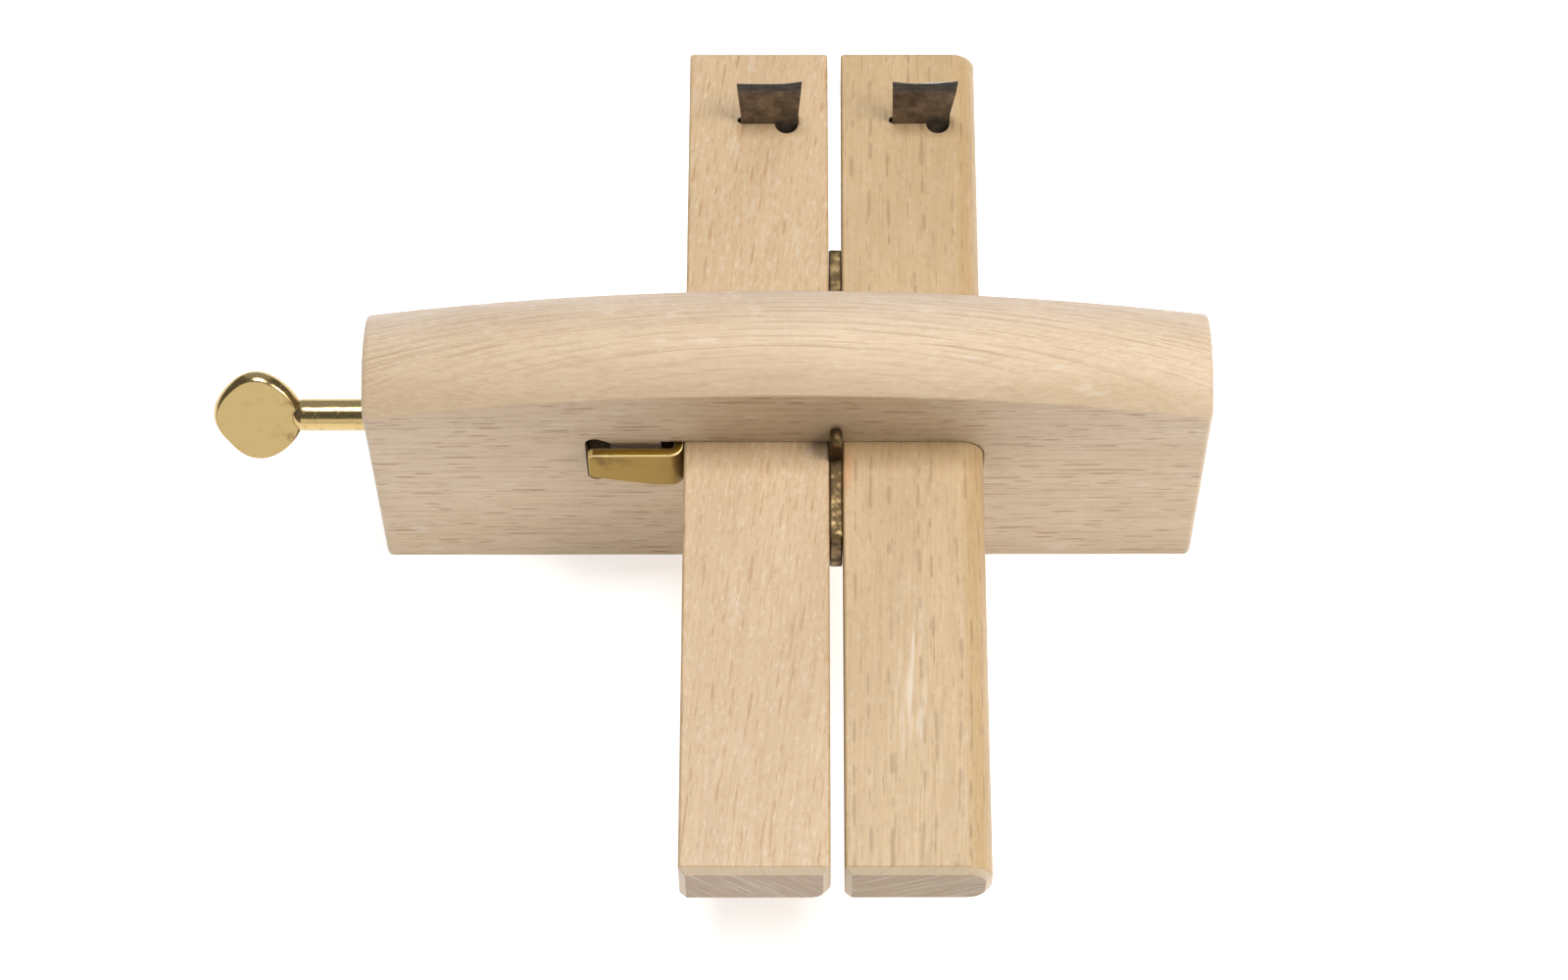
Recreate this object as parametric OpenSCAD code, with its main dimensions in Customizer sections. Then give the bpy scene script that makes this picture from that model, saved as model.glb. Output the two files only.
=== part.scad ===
// Two-beam mortise marking gauge: a crowned wooden fence rides on two beams, each with a knife
// near its far end, and one thumb screw clamps both beams through a brass shoe.
// X runs along the fence, Y along the beams towards the knives, and Z up from the fence's flat bottom.

/* [Fence] */
// Length of the fence along X
fence_l = 120; // [100:1:150]
// Thickness of the fence along Y
fence_t = 17.2; // [16:0.2:20]
// Height of the long top edges at mid length
fence_edge_h = 47.9; // [46:0.1:52]
// Radius of the long curve of the top
fence_top_r = 276; // [240:2:400]
// Radius of the crown across the thickness
fence_crown_r = 11; // [10.5:0.5:20]
// Radius that softens the four vertical corners
fence_corner_r = 0.8; // [0.3:0.1:2]
// Radius of the two bottom corners, seen from the front
fence_foot_r = 1.2; // [0.3:0.1:3]

/* [Beams] */
// Length of both beams
beam_l = 133.3; // [110:0.1:160]
// Height of both beams
beam_h = 9.6; // [8.6:0.1:10.6]
// Width of the left beam
left_beam_w = 20.65; // [18:0.05:22]
// Width of the right beam, rounded side included
right_beam_w = 20.1; // [18:0.1:22]
// Height of the beams' underside above the fence's bottom
beam_z = 25.1; // [22:0.1:28]
// Length of the beams on the knife side of the fence's middle
beam_ahead = 58.35; // [50:0.1:80]
// Radius of the right beam's two outer edges
right_beam_r = 3.6; // [2:0.1:4.2]
// Chamfer round the beams' near ends
near_chamfer = 1; // [0.4:0.1:1.6]
// Chamfer round the beams' knife ends
far_chamfer = 0.5; // [0.2:0.1:1.6]

/* [Mortise and fits] */
// X of the mortise's rounded end
mortise_end_x = 28; // [24:0.05:32]
// Clearance of each sliding fit
fit = 0.05; // [0.03:0.01:0.1]
// Room that the clamp shoe has to back off
shoe_room = 1.9; // [1.4:0.1:3]

/* [Brass parts] */
// Thickness of the shoe's sheet
shoe_t = 1.4; // [1:0.1:1.6]
// Height of the shoe's web
shoe_h = 8.6; // [7:0.1:9]
// Reach of the shoe's flanges, from its web's outer face
shoe_reach = 13.7; // [10:0.1:16]
// Thickness of the separator plate
plate_t = 1.8; // [1.2:0.1:2.4]
// Reach of the separator plate beyond each face of the fence
plate_reach = 15.3; // [10:0.1:20]
// Height of the separator plate's ears above the beams
ear_rise = 5.2; // [3:0.1:7]

/* [Thumb screw] */
// Diameter of the shank
screw_d = 4.7; // [4:0.1:5.2]
// Length of the shank outside the fence
screw_out = 9.4; // [7:0.1:14]
// Radius of the thumb paddle
paddle_r = 6.1; // [5:0.1:8]
// Thickness of the thumb paddle
paddle_t = 3.2; // [2.4:0.1:4]
// Turn of the paddle about the screw's axis at rest
paddle_turn = 51; // [0:1:90]

/* [Knives] */
// Thickness of the knives
blade_t = 1.2; // [0.8:0.1:1.6]
// Height of the knives above the beams
blade_up = 10.2; // [6:0.1:14]
// Reach of the knives below the beams
blade_down = 4.4; // [3:0.1:8]
// Y of the middle of both knives
blade_y = 46.2; // [40:0.1:48]

/* [Hidden] */
$fn = 64;
over = 1;

// Stack of parts across the mortise, from its rounded end to its square wall
right_beam_x = mortise_end_x - 2 * fit - right_beam_w;
plate_x = right_beam_x - fit - plate_t;
left_beam_x = plate_x - fit - left_beam_w;
shoe_x = left_beam_x - fit - shoe_t;
mortise_wall_x = shoe_x - shoe_room;
mid_z = beam_z + beam_h / 2;
beam_top = beam_z + beam_h;
mortise_h = beam_h + 4 * fit;

// Crown of the fence's top
crown_rise = fence_crown_r - sqrt(pow(fence_crown_r, 2) - pow(fence_t / 2, 2));
crown_axis_z = fence_edge_h - fence_top_r;

// Screw, its nut and the nut's pocket
screw_y = -1.2;
screw_z = mid_z - 0.15;
hole_clear = 0.08;
pocket_w = 3.6;
pocket_wall = 7.2;
pocket_x = mortise_wall_x - pocket_wall - pocket_w;
pocket_drill_r = 1.4;
pocket_half_h = 5.9;
nut_t = 3.2;
nut_w = 9.6;
nut_h = 8.8;
tip_d = 3;
tip_l = 0.9;
dimple_depth = 0.4;
tip_gap = 0.1;

// Shoe: flanges stand off the fence and narrow towards their free ends
flange_gap = 0.6;
flange_rise = 2.3;
flange_corner_r = 1;
scoop_depth = 0.5;
scoop_r = 24.3;

// Separator plate
ear_w = 3;
ear_gap = 0.05;
plate_corner_r = 0.9;

// Knives: half widths in the beam and at the cutting edge, and the hollow of the edge
blade_half_w = 4.25;
blade_edge_half_w = 4.8;
blade_bevel_h = 1.6;
edge_hollow = 0.6;
neck_up = 2.4;
relief_r = 1.75;
relief_x = 2.5;
pilot_r = 0.5;
left_blade_x = -2.75;
right_blade_x = 19.7;
right_blade_lean = 0.45;

// Points of an arc in a plane
function arc(c, r, from, to, n = 10) =
    [for (i = [0 : n]) let(a = from + (to - from) * i / n) [c[0] + r * cos(a), c[1] + r * sin(a)]];

// Corner at point p, rounded with radius r, between the directions that its edges face
function corner(p, sx, sy, r, from) = arc([p[0] - sx * r, p[1] - sy * r], r, from, from + 90);

// Rectangle from low to high with its own radius at each corner, counted from the top right
function soft_rect(low, high, radii) = concat(
    corner(high, 1, 1, radii[0], 0),
    corner([low[0], high[1]], -1, 1, radii[1], 90),
    corner(low, -1, -1, radii[2], 180),
    corner([high[0], low[1]], 1, -1, radii[3], 270));

// Rectangle from low to high with its own cut at each corner, counted from the top right
function cut_rect(low, high, cuts) = [
    [high[0], high[1] - cuts[0]], [high[0] - cuts[0], high[1]],
    [low[0] + cuts[1], high[1]], [low[0], high[1] - cuts[1]],
    [low[0], low[1] + cuts[2]], [low[0] + cuts[2], low[1]],
    [high[0] - cuts[3], low[1]], [high[0], low[1] + cuts[3]]];

// Extrudes an X-Z outline along Y, from y0 to y1
module along_y(y0, y1) {
    translate([0, y1, 0]) rotate([90, 0, 0]) linear_extrude(y1 - y0) children();
}

// Extrudes a Y-Z outline along X, from x0 to x1
module along_x(x0, x1) {
    translate([x0, 0, 0]) rotate([90, 0, 90]) linear_extrude(x1 - x0) children();
}

// Cylinder along X, from x0 to x1, on the screw's axis
module on_screw_axis(d, x0, x1) {
    translate([x0, screw_y, screw_z]) rotate([0, 90, 0]) cylinder(d = d, h = x1 - x0);
}

// Block that the fence is cut from
module fence_blank() {
    intersection() {
        linear_extrude(fence_edge_h + fence_t)
            polygon(soft_rect([-fence_l / 2, -fence_t / 2], [fence_l / 2, fence_t / 2],
                              [for (i = [0 : 3]) fence_corner_r]));
        along_y(-fence_t, fence_t)
            polygon(concat(
                corner([-fence_l / 2, 0], -1, -1, fence_foot_r, 180),
                corner([fence_l / 2, 0], 1, -1, fence_foot_r, 270),
                [[fence_l / 2, fence_edge_h + fence_t], [-fence_l / 2, fence_edge_h + fence_t]]));
    }
}

// Ring whose rim is the fence's top, curved along the fence and crowned across it
module fence_crown() {
    rim_x = fence_top_r + crown_rise - fence_crown_r;
    ring_x = fence_top_r - fence_edge_h - fence_t;
    translate([0, 0, crown_axis_z])
        rotate([90, 0, 0])
            rotate_extrude($fn = 360)
                union() {
                    translate([ring_x, -fence_crown_r]) square([rim_x - ring_x, 2 * fence_crown_r]);
                    translate([rim_x, 0]) intersection() {
                        circle(r = fence_crown_r, $fn = 128);
                        translate([0, -fence_crown_r]) square([fence_crown_r, 2 * fence_crown_r]);
                    }
                }
}

// Through slot for both beams, the plate and the shoe: square at the shoe, rounded at the right beam
module mortise() {
    round_r = right_beam_r + 2 * fit;
    along_y(-fence_t, fence_t)
        polygon(soft_rect([mortise_wall_x, mid_z - mortise_h / 2], [mortise_end_x, mid_z + mortise_h / 2],
                          [round_r, 0.01, 0.01, round_r]));
}

// Pocket for the nut, drilled out at its four corners and open at the front face
module nut_pocket() {
    depth = fence_t / 2 + screw_y + nut_w / 2 + fit;
    drill_z = pocket_half_h - pocket_drill_r;
    translate([pocket_x, -fence_t / 2 - over, screw_z - drill_z])
        cube([pocket_w, depth + over, 2 * drill_z]);
    for (side = [-1, 1], end = [0, 1])
        translate([pocket_x + pocket_drill_r + end * (pocket_w - 2 * pocket_drill_r),
                   -fence_t / 2 + depth, screw_z + side * (drill_z - end * 0.4)])
            rotate([90, 0, 0]) cylinder(r = pocket_drill_r, h = depth + over);
}

// Shallow scoops in both faces, behind the shoe's flanges
module flange_scoops() {
    x0 = pocket_x + pocket_w / 2;
    for (side = [-1, 1])
        translate([x0, side * (fence_t / 2 + scoop_r - scoop_depth), mid_z])
            rotate([0, 90, 0]) cylinder(r = scoop_r, h = mortise_wall_x + over - x0, $fn = 128);
}

module fence() {
    color("burlywood")
    difference() {
        intersection() {
            fence_blank();
            fence_crown();
        }
        mortise();
        nut_pocket();
        flange_scoops();
        on_screw_axis(screw_d + 2 * hole_clear, -fence_l / 2 - over, mortise_wall_x + over);
    }
}

// Beam with chamfered ends, from an X-Z outline given as its child
module beam(x, w) {
    near = beam_ahead - beam_l;
    intersection() {
        along_y(near - over, beam_ahead + over) children();
        translate([0, 0, beam_z - over]) linear_extrude(beam_h + 2 * over)
            polygon(cut_rect([x, near], [x + w, beam_ahead],
                             [far_chamfer, far_chamfer, near_chamfer, near_chamfer]));
        along_x(x - over, x + w + over)
            polygon(cut_rect([near, beam_z], [beam_ahead, beam_top],
                             [far_chamfer, near_chamfer, near_chamfer, far_chamfer]));
    }
}

// Slot for a knife that is centred at x, with a pilot hole at one end and a relief hole at the other
module blade_slot(x) {
    slot_w = 2 * (blade_half_w + fit);
    slot_t = blade_t + 2 * fit;
    translate([x - slot_w / 2, blade_y - slot_t / 2, beam_z - over])
        cube([slot_w, slot_t, beam_h + 2 * over]);
    translate([x - slot_w / 2, blade_y, beam_z - over]) cylinder(r = pilot_r, h = beam_h + 2 * over);
    translate([x + relief_x, blade_y - blade_t / 2, beam_z - over])
        cylinder(r = relief_r, h = beam_h + 2 * over);
}

module beam_left() {
    color("wheat")
    difference() {
        beam(left_beam_x, left_beam_w)
            polygon(soft_rect([left_beam_x, beam_z], [left_beam_x + left_beam_w, beam_top],
                              [0.3, 0.3, 0.8, 2.8]));
        blade_slot(left_blade_x);
    }
}

module beam_right() {
    color("wheat")
    difference() {
        beam(right_beam_x, right_beam_w)
            polygon(soft_rect([right_beam_x, beam_z], [right_beam_x + right_beam_w, beam_top],
                              [right_beam_r, 0.3, 0.8, right_beam_r]));
        blade_slot(right_blade_x);
    }
}

// Plate between the beams, with two ears that keep it in the mortise
module separator_plate() {
    reach = fence_t / 2 + plate_reach;
    ear_y = fence_t / 2 + ear_gap;
    ear_r = ear_w / 2;
    ear_mid = [ear_y + ear_r, beam_top + ear_rise - ear_r];
    color("darkgoldenrod")
    along_x(plate_x, plate_x + plate_t)
        polygon(concat(
            corner([reach, beam_top], 1, 1, plate_corner_r, 0),
            [[ear_y + ear_w, beam_top]], arc(ear_mid, ear_r, 0, 180), [[ear_y, beam_top]],
            [[-ear_y, beam_top]], arc([-ear_mid[0], ear_mid[1]], ear_r, 0, 180),
            [[-ear_y - ear_w, beam_top]],
            corner([-reach, beam_top], -1, 1, plate_corner_r, 90),
            corner([-reach, beam_z], -1, -1, plate_corner_r, 180),
            corner([reach, beam_z], 1, -1, plate_corner_r, 270)));
}

// Plan of the shoe: web against the left beam, folded back along both faces of the fence
module shoe_plan() {
    inner = fence_t / 2 + flange_gap;
    outer = inner + shoe_t;
    fold_r = shoe_t + flange_gap;
    web_x = shoe_x + shoe_t;
    difference() {
        polygon(soft_rect([web_x - shoe_reach, -outer], [web_x, outer], [fold_r, 0.01, 0.01, fold_r]));
        polygon(soft_rect([web_x - shoe_reach - over, -inner], [shoe_x, inner],
                          [flange_gap, 0.01, 0.01, flange_gap]));
    }
}

module clamp_shoe() {
    web_x = shoe_x + shoe_t;
    low = mid_z - shoe_h / 2;
    high = mid_z + shoe_h / 2;
    end_x = web_x - shoe_reach;
    color("goldenrod")
    difference() {
        intersection() {
            translate([0, 0, low - over]) linear_extrude(shoe_h + 2 * over) shoe_plan();
            along_y(-fence_t, fence_t)
                polygon(concat(
                    corner([end_x, high], -1, 1, flange_corner_r, 90),
                    corner([end_x, low + flange_rise], -1, -1, flange_corner_r, 180),
                    [[mortise_wall_x - over, low], [web_x + over, low], [web_x + over, high]]));
        }
        on_screw_axis(tip_d + 4 * fit, shoe_x - over, shoe_x + dimple_depth);
    }
}

// Captive nut plate in the fence's pocket
module screw_nut() {
    color("gold")
    difference() {
        translate([pocket_x + (pocket_w - nut_t) / 2, screw_y - nut_w / 2, screw_z - nut_h / 2])
            cube([nut_t, nut_w, nut_h]);
        on_screw_axis(screw_d + 2 * hole_clear, pocket_x - over, pocket_x + pocket_w + over);
    }
}

// Disc with a rounded rim, flat on both sides
module paddle() {
    rim_r = paddle_t * 0.45;
    rotate_extrude($fn = 96)
        union() {
            translate([0, -paddle_t / 2]) square([paddle_r - rim_r, paddle_t]);
            translate([0, -paddle_t / 2 + rim_r]) square([paddle_r, paddle_t - 2 * rim_r]);
            for (side = [-1, 1])
                translate([paddle_r - rim_r, side * (paddle_t / 2 - rim_r)]) intersection() {
                    circle(r = rim_r);
                    translate([0, -rim_r]) square([rim_r, 2 * rim_r]);
                }
        }
}

module thumb_screw() {
    tip_x = shoe_x + dimple_depth - tip_gap;
    neck_x = -fence_l / 2 - screw_out;
    neck_l = 3.2;
    color("gold")
    union() {
        on_screw_axis(tip_d, tip_x - tip_l - over, tip_x);
        on_screw_axis(screw_d, neck_x, tip_x - tip_l);
        translate([neck_x - neck_l, screw_y, screw_z]) rotate([0, 90, 0])
            cylinder(d1 = paddle_t * 0.9, d2 = screw_d, h = neck_l);
        translate([neck_x - paddle_r - 1.2, screw_y, screw_z]) rotate([paddle_turn, 0, 0]) paddle();
    }
}

// Knife with a hollow cutting edge, centred at x, its edge wider than its stem and leaning by lean
module blade(x, lean) {
    top = beam_top + blade_up;
    left = x - blade_edge_half_w + lean;
    right = x + blade_edge_half_w + lean;
    front = blade_y - blade_t / 2;
    color("dimgray")
    intersection() {
        along_y(front, front + blade_t)
            polygon(concat(
                [[x - blade_half_w, beam_z - blade_down], [x + blade_half_w, beam_z - blade_down],
                 [x + blade_half_w, beam_top + neck_up]],
                [for (i = [0 : 12]) let(u = i / 12)
                    [right + (left - right) * u, top - edge_hollow * 4 * u * (1 - u)]],
                [[x - blade_half_w, beam_top + neck_up]]));
        along_x(left - over, right + over)
            polygon([[front, beam_z - blade_down - over], [front + blade_t, beam_z - blade_down - over],
                     [front + blade_t, top - blade_bevel_h], [blade_y, top], [front, top - blade_bevel_h]]);
    }
}

module blade_left() {
    blade(left_blade_x, 0);
}

module blade_right() {
    blade(right_blade_x, right_blade_lean);
}

fence();
beam_left();
beam_right();
separator_plate();
clamp_shoe();
screw_nut();
thumb_screw();
blade_left();
blade_right();
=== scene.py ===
import math

import bmesh
import bpy
from mathutils import Matrix, Vector, noise


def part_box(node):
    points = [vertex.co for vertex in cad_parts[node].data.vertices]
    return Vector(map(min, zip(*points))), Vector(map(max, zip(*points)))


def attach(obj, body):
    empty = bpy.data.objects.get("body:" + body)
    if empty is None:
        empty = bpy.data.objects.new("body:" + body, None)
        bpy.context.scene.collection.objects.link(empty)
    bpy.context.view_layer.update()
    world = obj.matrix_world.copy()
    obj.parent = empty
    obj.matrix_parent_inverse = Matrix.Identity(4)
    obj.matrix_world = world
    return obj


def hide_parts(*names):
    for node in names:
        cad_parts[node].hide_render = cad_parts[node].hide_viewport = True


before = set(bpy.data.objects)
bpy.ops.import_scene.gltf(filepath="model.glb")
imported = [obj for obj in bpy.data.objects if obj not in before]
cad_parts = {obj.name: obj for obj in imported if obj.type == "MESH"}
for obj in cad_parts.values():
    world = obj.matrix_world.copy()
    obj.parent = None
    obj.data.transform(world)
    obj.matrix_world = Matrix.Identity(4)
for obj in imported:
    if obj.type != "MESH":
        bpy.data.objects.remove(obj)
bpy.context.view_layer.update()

MM = 0.001


# ---------------------------------------------------------------- camera
def make_camera():
    """A long lens looking down at the fence's front face."""
    lens, distance = 93.84, 599.42
    image_width = 1600.0
    target = Vector((3.66, -8.6, 14.42)) * MM
    pitch, yaw, roll = math.radians(61.8), math.radians(0.11), math.radians(0.03)
    forward = Vector((math.sin(yaw) * math.cos(pitch), math.cos(yaw) * math.cos(pitch),
                      -math.sin(pitch)))
    right = Vector((math.cos(yaw), -math.sin(yaw), 0.0))
    up = right.cross(forward)
    right_r = math.cos(roll) * right + math.sin(roll) * up
    up_r = -math.sin(roll) * right + math.cos(roll) * up
    data = bpy.data.cameras.new("camera")
    data.sensor_width = 36.0
    data.lens = lens
    data.shift_x = -30.0 / image_width
    data.shift_y = 20.0 / image_width
    data.clip_start = 0.01
    data.clip_end = 20.0
    camera = bpy.data.objects.new("camera", data)
    bpy.context.scene.collection.objects.link(camera)
    turn = Matrix((right_r, up_r, -forward)).transposed().to_4x4()
    camera.matrix_world = Matrix.Translation(target - distance * MM * forward) @ turn
    bpy.context.scene.camera = camera


# ---------------------------------------------------------------- mesh helpers, all in millimetres
def arc(centre, radius, start, end, steps):
    """Points of an arc in a plane, from one angle to another in degrees."""
    angles = [math.radians(start + (end - start) * i / steps) for i in range(steps + 1)]
    return [(centre[0] + radius * math.cos(a), centre[1] + radius * math.sin(a)) for a in angles]


def soft_rect(low, high, radii, steps=6):
    """Outline of a rectangle with its own radius at each corner, counted from the top right."""
    corners = ((high[0], high[1], 1, 1), (low[0], high[1], -1, 1),
               (low[0], low[1], -1, -1), (high[0], low[1], 1, -1))
    points = []
    for k, (x, y, sx, sy) in enumerate(corners):
        r = radii[k]
        points += arc((x - sx * r, y - sy * r), r, 90 * k, 90 * k + 90, steps)
    return points


def around(steps):
    """Angles of even steps, once round a circle."""
    return [2 * math.pi * k / steps for k in range(steps)]


def spread(a, b, steps):
    """Values from a to b in even steps."""
    return [a + (b - a) * i / steps for i in range(steps + 1)]


def finish_mesh(mesh, angle):
    """Cleans a mesh, turns its faces outwards, and smooths it apart from edges sharper than angle."""
    bm = bmesh.new()
    bm.from_mesh(mesh)
    bmesh.ops.remove_doubles(bm, verts=bm.verts, dist=2e-7)
    bmesh.ops.dissolve_degenerate(bm, edges=bm.edges, dist=2e-7)
    bmesh.ops.recalc_face_normals(bm, faces=bm.faces)
    bm.to_mesh(mesh)
    bm.free()
    for face in mesh.polygons:
        face.use_smooth = True
    mesh.set_sharp_from_angle(angle=math.radians(angle))


def solid(name, rings, angle=35):
    """A closed solid from rings of points in mm, with a flat cap on its first and last ring."""
    n, last = len(rings[0]), len(rings) - 1
    points = [Vector(p) * MM for ring in rings for p in ring]
    faces = [(i * n + j, i * n + (j + 1) % n, (i + 1) * n + (j + 1) % n, (i + 1) * n + j)
             for i in range(last) for j in range(n)]
    faces += [tuple(range(n)), tuple(last * n + j for j in range(n))]
    mesh = bpy.data.meshes.new(name)
    mesh.from_pydata(points, [], faces)
    finish_mesh(mesh, angle)
    piece = bpy.data.objects.new(name, mesh)
    bpy.context.scene.collection.objects.link(piece)
    return piece


def combine(piece, tools, operation="DIFFERENCE", angle=35):
    """Cuts the tools from a piece, or joins them to it, and removes them."""
    for tool in tools:
        step = piece.modifiers.new("combine", "BOOLEAN")
        step.operation = operation
        step.solver = "EXACT"
        step.object = tool
    graph = bpy.context.evaluated_depsgraph_get()
    mesh = bpy.data.meshes.new_from_object(piece.evaluated_get(graph))
    piece.modifiers.clear()
    piece.data = mesh
    finish_mesh(mesh, angle)
    for tool in tools:
        bpy.data.objects.remove(tool)
    return piece


def even_normals(piece):
    """Lets the large faces set the shading next to narrow rounded edges."""
    step = piece.modifiers.new("normals", "WEIGHTED_NORMAL")
    step.keep_sharp = True
    step.weight = 80


def tube(name, profile, centre, sides=48):
    """A round solid along X through the (x, radius) pairs of its profile."""
    rings = [[(x, centre[0] + r * math.cos(a), centre[1] + r * math.sin(a)) for a in around(sides)]
             for x, r in profile]
    return solid(name, rings)


# ---------------------------------------------------------------- sizes that the pieces share, in mm
FENCE_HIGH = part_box("fence")[1] / MM
LEFT_LOW, LEFT_HIGH = [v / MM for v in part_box("beam_left")]
RIGHT_LOW, RIGHT_HIGH = [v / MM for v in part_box("beam_right")]
PLATE_LOW, PLATE_HIGH = [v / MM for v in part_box("separator_plate")]
SHOE_LOW, SHOE_HIGH = [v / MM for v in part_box("clamp_shoe")]
NUT_LOW, NUT_HIGH = [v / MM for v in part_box("screw_nut")]
SCREW_LOW, SCREW_HIGH = [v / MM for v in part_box("thumb_screw")]
HALF_T = FENCE_HIGH.y
BEAM_LOW, BEAM_TOP = LEFT_LOW.z, LEFT_HIGH.z
MID_Z = (BEAM_LOW + BEAM_TOP) / 2
SCREW_Y, SCREW_Z = (NUT_LOW.y + NUT_HIGH.y) / 2, (NUT_LOW.z + NUT_HIGH.z) / 2
OVER = 0.5
FIT = 0.05
SHANK_R = 2.35
HOLE_R = SHANK_R + 0.08
RIGHT_CORNER_R = 3.6
SHOE_SHEET, SHOE_REACH, SHOE_ROOM = 1.4, 13.7, 1.9


# ---------------------------------------------------------------- fence
FENCE_TOP_R, FENCE_CROWN_R, FENCE_EDGE_H = 276.0, 11.0, 47.9
TOP_INSET = 0.02


def fence_top(x, y):
    """Height of the fence's top: curved along its length, crowned across it, and just inside the CAD's."""
    crown = math.sqrt(FENCE_CROWN_R ** 2 - y * y) - math.sqrt(FENCE_CROWN_R ** 2 - HALF_T ** 2)
    return FENCE_EDGE_H - FENCE_TOP_R - TOP_INSET + math.sqrt((FENCE_TOP_R + crown) ** 2 - x * x)


def fence_ring(x, half, low, drop):
    """The fence's cross-section at x, from its bottom up the front face, over the crown and down the back."""
    foot, arris = 0.35, 0.28
    edge = fence_top(x, half) - drop
    slope = math.atan2(half, math.sqrt(FENCE_CROWN_R ** 2 - half ** 2))
    bottom = [(y, low) for y in spread(half - foot, foot - half, 5)]
    front = arc((foot - half, low + foot), foot, 270, 180, 4)[1:]
    front += [(-half, z) for z in spread(low + foot, edge - arris, 12)[1:]]
    start, corner = Vector((-half, edge - arris)), Vector((-half, edge))
    end = corner + arris * Vector((math.cos(slope), math.sin(slope)))
    for u in spread(0, 1, 4)[1:]:
        front.append(tuple((1 - u) ** 2 * start + 2 * u * (1 - u) * corner + u * u * end))
    crown = [(y, fence_top(x, y) - drop) for y in spread(end.x, -end.x, 28)[1:]]
    back = [(-y, z) for y, z in reversed(front)]
    return [(x, y, z) for y, z in bottom + front + crown + back]


def make_fence():
    """The fence: its block, cut by the mortise, the nut's pocket, two scoops and the screw's hole."""
    length, plan_r, foot_r = FENCE_HIGH.x, 0.8, 1.2
    stations = []
    for a in spread(90, 0, 7):
        stations.append(length - plan_r + plan_r * math.sin(math.radians(a)))
    stations += [length - foot_r] + spread(length - 2, 0, 29)
    stations = sorted(set(round(x, 4) for s in stations for x in (s, -s)))
    rings = []
    for x in stations:
        into_plan = max(0.0, abs(x) - (length - plan_r))
        into_foot = max(0.0, abs(x) - (length - foot_r))
        inset = plan_r - math.sqrt(max(0.0, plan_r ** 2 - into_plan ** 2))
        low = foot_r - math.sqrt(max(0.0, foot_r ** 2 - into_foot ** 2))
        rings.append(fence_ring(x, HALF_T - inset * 0.999, low, 0.5 * inset))
    fence = solid("fence_body", rings)

    wall_x, end_x = SHOE_LOW.x + SHOE_REACH - SHOE_SHEET - SHOE_ROOM, 28.0
    half_h = (BEAM_TOP - BEAM_LOW) / 2 + 2 * FIT
    corner_r = RIGHT_CORNER_R + 2 * FIT

    def mortise(y, grow):
        x, half = end_x - corner_r, half_h + grow
        outline = [(wall_x - grow, MID_Z - half)]
        outline += arc((x, MID_Z - half_h + corner_r), corner_r + grow, -90, 0, 12)
        outline += arc((x, MID_Z + half_h - corner_r), corner_r + grow, 0, 90, 12)
        outline += [(wall_x - grow, MID_Z + half)]
        return [(px, y, pz) for px, pz in outline]

    lip, past = 0.18, 0.6
    tools = [solid("mortise", [mortise(-HALF_T - past, lip + past), mortise(lip - HALF_T, 0),
                               mortise(HALF_T - lip, 0), mortise(HALF_T + past, lip + past)])]

    pocket_w, drill_r = 3.6, 1.4
    outer_drill_z, inner_drill_z = 4.5, 4.1
    pocket_x = (NUT_LOW.x + NUT_HIGH.x - pocket_w) / 2
    pocket_mid = pocket_x + pocket_w / 2
    drills = ((pocket_x + drill_r, outer_drill_z), (pocket_x + pocket_w - drill_r, inner_drill_z))

    def pocket_height(x):
        return max(h + math.sqrt(max(0.0, drill_r ** 2 - (x - cx) ** 2)) for cx, h in drills)

    across = [pocket_mid - pocket_w / 2 * math.cos(math.radians(a)) for a in spread(0, 180, 28)]
    outline = [(px, SCREW_Z + pocket_height(px)) for px in across]
    outline += [(px, SCREW_Z - pocket_height(px)) for px in reversed(across)]
    tools.append(solid("pocket", [[(px, y, pz) for px, pz in outline]
                                  for y in (-HALF_T - 1, NUT_HIGH.y + FIT)]))

    scoop_r, scoop_depth = 24.3, 0.5
    for side in (-1, 1):
        tools.append(tube("scoop", [(pocket_mid, scoop_r), (wall_x + OVER, scoop_r)],
                          (side * (HALF_T + scoop_r - scoop_depth), MID_Z), sides=128))
    start_x, cone = -length - OVER, 0.75
    tools.append(tube("hole", [(start_x, HOLE_R + cone), (start_x + cone, HOLE_R), (wall_x + OVER, HOLE_R)],
                      (SCREW_Y, SCREW_Z)))
    return combine(fence, tools)


# ---------------------------------------------------------------- beams and their knives
BLADES = {"left": (-2.75, 0.0), "right": (19.7, 0.45)}
BLADE_Y, BLADE_T, BLADE_HALF_W = 46.2, 1.2, 4.25
BEAMS = {"left": (LEFT_LOW, LEFT_HIGH), "right": (RIGHT_LOW, RIGHT_HIGH)}


def beam_outline(side, inset):
    """Cross-section of a beam, drawn in by inset."""
    low, high = BEAMS[side]
    top, foot, left_foot = [max(r - inset, 0.12) for r in (0.45, 0.8, 2.8)]
    if side == "left":
        return soft_rect((low.x + inset, low.z + inset), (high.x - inset, high.z - inset),
                         [top, top, foot, left_foot])
    r, x = RIGHT_CORNER_R, high.x - RIGHT_CORNER_R
    outline = arc((x, low.z + r), r - inset, -90, 0, 14) + arc((x, high.z - r), r - inset, 0, 90, 14)
    outline += arc((low.x + inset + top, high.z - inset - top), top, 90, 180, 6)
    outline += arc((low.x + inset + foot, low.z + inset + foot), foot, 180, 270, 6)
    return outline


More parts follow.
